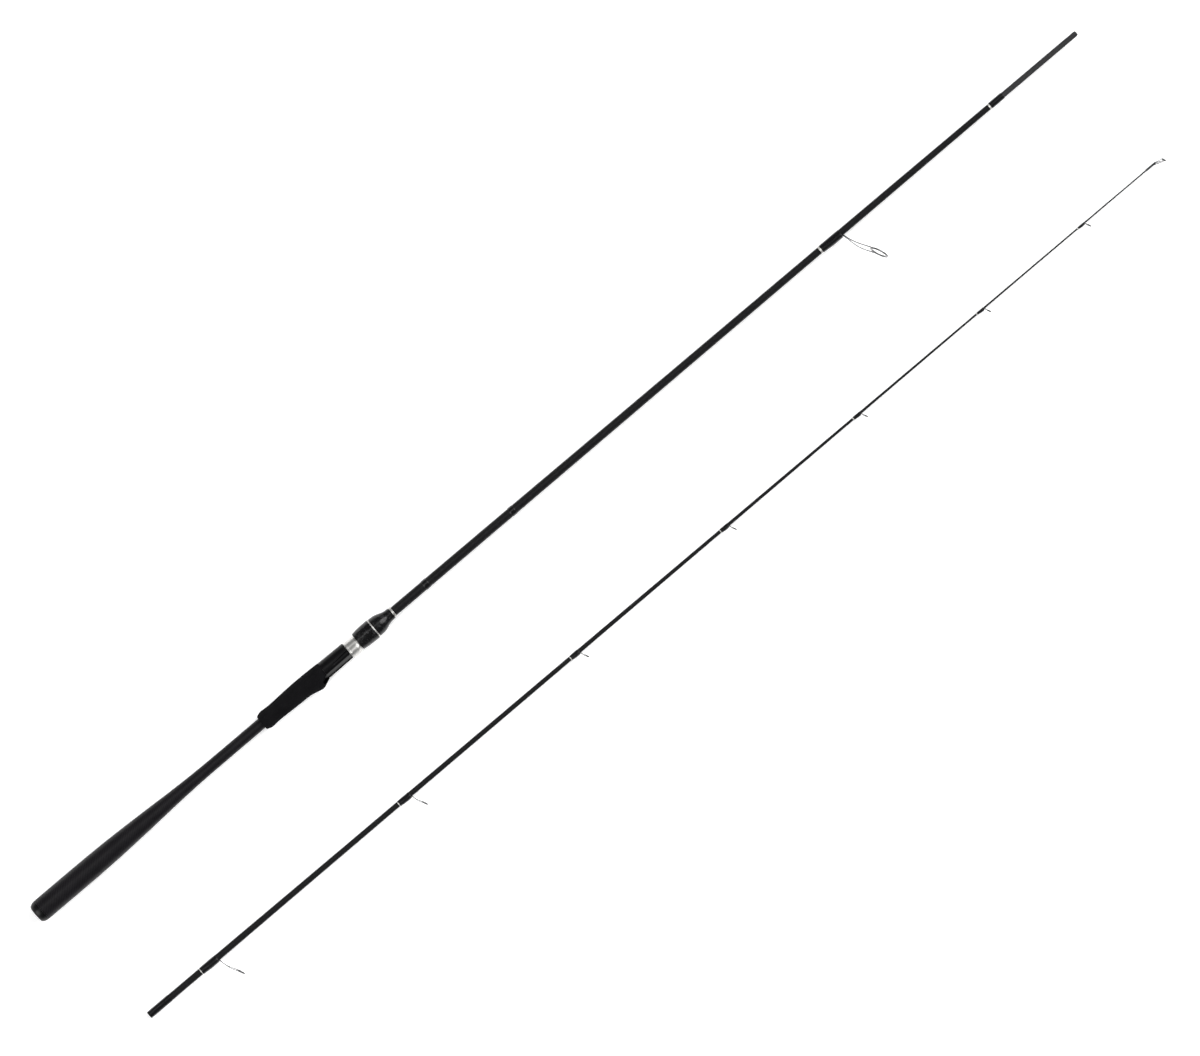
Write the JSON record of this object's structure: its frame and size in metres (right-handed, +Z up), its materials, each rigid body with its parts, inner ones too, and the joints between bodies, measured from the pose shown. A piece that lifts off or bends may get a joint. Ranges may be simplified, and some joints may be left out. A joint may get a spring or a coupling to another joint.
{
  "type": "spinning rod",
  "caption": "Two-piece carbon spinning rod laid out in its two sections, with a flared rear grip, a screw-locking reel seat and single-foot line guides.",
  "frame": {"origin": "on the floor, under the middle of the box of the two sections as they are laid out", "axes": "+X along both sections from butt to tip, +Y from the tip section towards the butt section, +Z up; the guides and the reel seat face -Y, rolled 26 degrees upwards"},
  "size_m": [1.603, 0.226, 0.0481],
  "materials": {
    "carbon_weave": "dark carbon weave under a satin clear coat",
    "satin_blank": "charcoal carbon blank, satin, with a fine tape pattern; the male ferrule is ground to a matt grey",
    "eva_foam": "black closed-cell foam, matt",
    "black_plastic": "black moulded plastic, gloss",
    "forged_carbon": "black marbled chopped carbon under gloss lacquer",
    "polished_silver": "polished silver metal",
    "gloss_wrap": "black thread under a thick gloss epoxy coat",
    "guide_frame": "gunmetal grey polished metal",
    "ceramic_ring": "dark grey ceramic, polished",
    "arbor_cork": "pressed cork, inside the handle"
  },
  "bodies": {
    "butt_section": {"butt_blank": "satin_blank", "butt_cap": "black_plastic", "ferrule_stop_trim": "polished_silver", "ferrule_stop_wrap": "gloss_wrap", "fixed_hood_pad": "eva_foam", "front_arbor": "arbor_cork", "rear_arbor": "arbor_cork", "rear_foam_grip": "eva_foam", "rear_grip_tube": "carbon_weave", "reel_seat_body": "black_plastic", "seat_arbor_1": "arbor_cork", "seat_arbor_2": "arbor_cork", "seat_arbor_3": "arbor_cork", "stripper_frame": "guide_frame", "stripper_ring": "ceramic_ring", "stripper_trim": "polished_silver", "stripper_wrap": "gloss_wrap", "thread_band_1": "gloss_wrap", "thread_band_2": "gloss_wrap"},
    "moving_hood": {"moving_hood": "polished_silver", "moving_hood_pad": "eva_foam"},
    "lock_nut": {"nut_sleeve": "black_plastic", "foregrip_rear": "forged_carbon", "nut_mid_ring": "polished_silver", "foregrip_front": "forged_carbon", "nut_front_ring": "polished_silver"},
    "tip_section": {"ferrule_sleeve": "satin_blank", "ferrule_wrap": "gloss_wrap", "guide_1_frame": "guide_frame", "guide_1_ring": "ceramic_ring", "guide_1_wrap": "gloss_wrap", "guide_2_frame": "guide_frame", "guide_2_ring": "ceramic_ring", "guide_2_wrap": "gloss_wrap", "guide_3_frame": "guide_frame", "guide_3_ring": "ceramic_ring", "guide_3_wrap": "gloss_wrap", "guide_4_frame": "guide_frame", "guide_4_ring": "ceramic_ring", "guide_4_wrap": "gloss_wrap", "guide_5_frame": "guide_frame", "guide_5_ring": "ceramic_ring", "guide_5_wrap": "gloss_wrap", "guide_6_frame": "guide_frame", "guide_6_ring": "ceramic_ring", "guide_6_wrap": "gloss_wrap", "guide_7_frame": "guide_frame", "guide_7_ring": "ceramic_ring", "guide_7_wrap": "gloss_wrap", "tip_blank": "satin_blank", "tip_top_frame": "guide_frame", "tip_top_ring": "ceramic_ring"}
  },
  "joints": [
    {"name": "tip_section_slide", "type": "slide", "parent": "butt_section", "child": "tip_section", "axis": [0.9928, 0.1195, 0.0062], "range_m": [0, 1.47681]},
    {"name": "hood_slide", "type": "slide", "parent": "butt_section", "child": "moving_hood", "axis": [1, 0, 0], "range_m": [0, 0.022]},
    {"name": "nut_turn", "type": "hinge", "parent": "moving_hood", "child": "lock_nut", "pos_m": [-0.2965, 0.09932, 0.01379], "axis": [1, 0, 0], "range_deg": [0, 2640]}
  ],
  "couplings": [
    {"joint": "nut_turn", "follows": "hood_slide", "rad_per_m": 2094.4}
  ]
}
